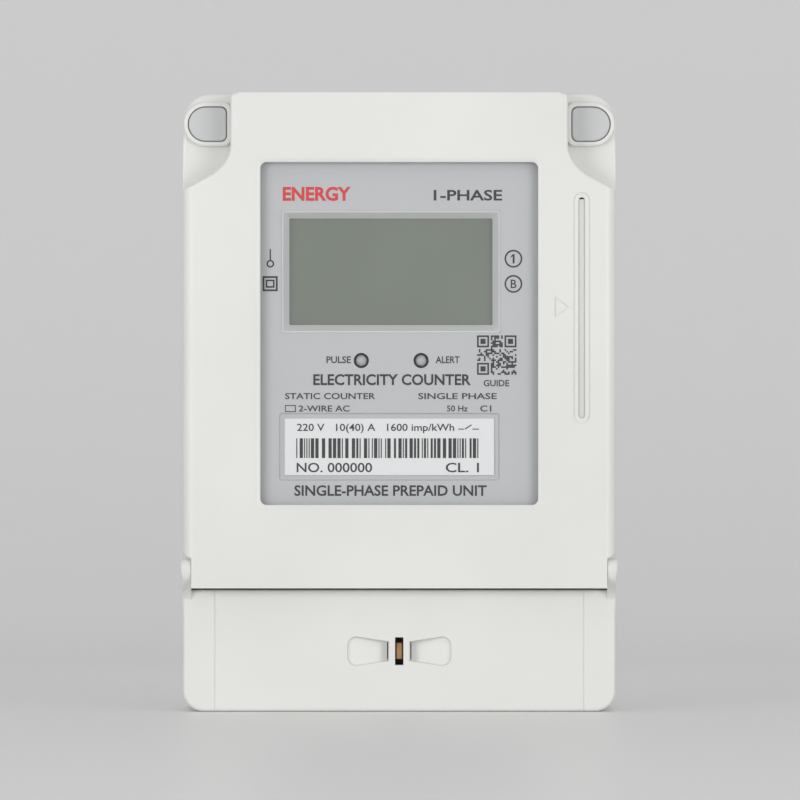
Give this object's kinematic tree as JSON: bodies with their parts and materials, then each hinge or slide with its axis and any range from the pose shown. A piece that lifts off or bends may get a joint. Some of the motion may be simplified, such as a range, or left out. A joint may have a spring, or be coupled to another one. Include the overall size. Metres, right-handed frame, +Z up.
{
  "type": "prepaid electricity meter",
  "caption": "Wall-hung single-phase prepaid electricity meter: a shallow white case with a windowed display plate, a vertical card slot, and a hinged lower cover over the wire terminals.",
  "frame": {"origin": "the middle of the flat wall face at the back of the rear case", "axes": "+Z up along the meter's height, +X to the viewer's right, -Y out of the front; the back rests against the wall at y = 0"},
  "size_m": [0.1128, 0.071, 0.16],
  "materials": {
    "case_plastic": "moulded satin ABS/polycarbonate, off-white",
    "clear_window": "clear polished polycarbonate sheet",
    "plate_grey": "printed satin grey sheet",
    "cap_grey": "moulded satin grey",
    "label_white": "printed white label stock",
    "display": "liquid crystal glass with an olive polariser",
    "lamp_clear": "clear cast epoxy",
    "board": "solder-masked glass epoxy",
    "bakelite": "moulded black phenolic",
    "chip_black": "moulded black epoxy",
    "brass": "turned and milled",
    "zinc_steel": "zinc-plated",
    "copper": "bright rolled copper strip",
    "coil_amber": "taped winding and varnished laminations",
    "blue_sleeve": "shrink sleeve"
  },
  "bodies": {
    "meter": {"rear_case": "case_plastic", "front_cover": "case_plastic", "card_holder": "case_plastic", "window_pane": "clear_window", "nameplate": "plate_grey", "lcd_bezel": "plate_grey", "seal_cap_left": "cap_grey", "seal_cap_right": "cap_grey", "rating_label": "label_white", "lcd_backlight": "label_white", "lcd_glass": "display", "pulse_led": "lamp_clear", "alarm_led": "lamp_clear", "main_board": "board", "terminal_block": "bakelite", "relay": "bakelite", "card_contact_block": "bakelite", "controller_chip": "chip_black", "metering_chip": "chip_black", "buzzer": "chip_black", "filter_capacitor_1": "chip_black", "filter_capacitor_2": "chip_black", "terminal_1": "brass", "terminal_2": "brass", "terminal_3": "brass", "terminal_4": "brass", "seal_screw_insert": "brass", "board_screw_1": "zinc_steel", "board_screw_2": "zinc_steel", "board_screw_3": "zinc_steel", "board_screw_4": "zinc_steel", "cover_screw_left": "zinc_steel", "cover_screw_right": "zinc_steel", "lower_case_screw_left": "zinc_steel", "lower_case_screw_right": "zinc_steel", "shunt": "copper", "relay_busbar": "copper", "neutral_link": "copper", "power_transformer": "coil_amber", "battery": "blue_sleeve", "varistor": "blue_sleeve"},
    "terminal_cover": {"terminal_cover": "case_plastic"},
    "seal_screw_ring": {"seal_screw_ring": "zinc_steel"},
    "seal_screw": {"seal_screw": "brass"},
    "hanging_hook": {"hanging_hook": "zinc_steel"},
    "terminal_screw_1": {"terminal_screw_1": "zinc_steel"},
    "terminal_screw_2": {"terminal_screw_2": "zinc_steel"},
    "terminal_screw_3": {"terminal_screw_3": "zinc_steel"},
    "terminal_screw_4": {"terminal_screw_4": "zinc_steel"},
    "terminal_screw_5": {"terminal_screw_5": "zinc_steel"},
    "terminal_screw_6": {"terminal_screw_6": "zinc_steel"},
    "terminal_screw_7": {"terminal_screw_7": "zinc_steel"},
    "terminal_screw_8": {"terminal_screw_8": "zinc_steel"}
  },
  "joints": [
    {"name": "terminal_cover_hinge", "type": "hinge", "parent": "meter", "child": "terminal_cover", "pos_m": [0, -0.068, -0.043], "axis": [-1, 0, 0], "range_deg": [0, 110]},
    {"name": "seal_screw_advance", "type": "slide", "parent": "terminal_cover", "child": "seal_screw_ring", "axis": [0, 1, 0], "range_m": [0, 0.004]},
    {"name": "seal_screw_turn", "type": "hinge", "parent": "seal_screw_ring", "child": "seal_screw", "pos_m": [0, -0.05, -0.0644], "axis": [0, 1, 0], "range_deg": [0, 2058]},
    {"name": "hanging_hook_slide", "type": "slide", "parent": "meter", "child": "hanging_hook", "axis": [0, 0, 1], "range_m": [0, 0.012]},
    {"name": "terminal_screw_1_turn", "type": "hinge", "parent": "meter", "child": "terminal_screw_1", "pos_m": [-0.032, -0.034, -0.0681], "axis": [0, 1, 0], "continuous": true},
    {"name": "terminal_screw_2_turn", "type": "hinge", "parent": "meter", "child": "terminal_screw_2", "pos_m": [-0.032, -0.034, -0.05794], "axis": [0, 1, 0], "continuous": true},
    {"name": "terminal_screw_3_turn", "type": "hinge", "parent": "meter", "child": "terminal_screw_3", "pos_m": [-0.013, -0.034, -0.0681], "axis": [0, 1, 0], "continuous": true},
    {"name": "terminal_screw_4_turn", "type": "hinge", "parent": "meter", "child": "terminal_screw_4", "pos_m": [-0.013, -0.034, -0.05794], "axis": [0, 1, 0], "continuous": true},
    {"name": "terminal_screw_5_turn", "type": "hinge", "parent": "meter", "child": "terminal_screw_5", "pos_m": [0.013, -0.034, -0.0681], "axis": [0, 1, 0], "continuous": true},
    {"name": "terminal_screw_6_turn", "type": "hinge", "parent": "meter", "child": "terminal_screw_6", "pos_m": [0.013, -0.034, -0.05794], "axis": [0, 1, 0], "continuous": true},
    {"name": "terminal_screw_7_turn", "type": "hinge", "parent": "meter", "child": "terminal_screw_7", "pos_m": [0.032, -0.034, -0.0681], "axis": [0, 1, 0], "continuous": true},
    {"name": "terminal_screw_8_turn", "type": "hinge", "parent": "meter", "child": "terminal_screw_8", "pos_m": [0.032, -0.034, -0.05794], "axis": [0, 1, 0], "continuous": true}
  ],
  "couplings": [
    {"joint": "seal_screw_turn", "follows": "seal_screw_advance", "rad_per_m": 8976}
  ]
}
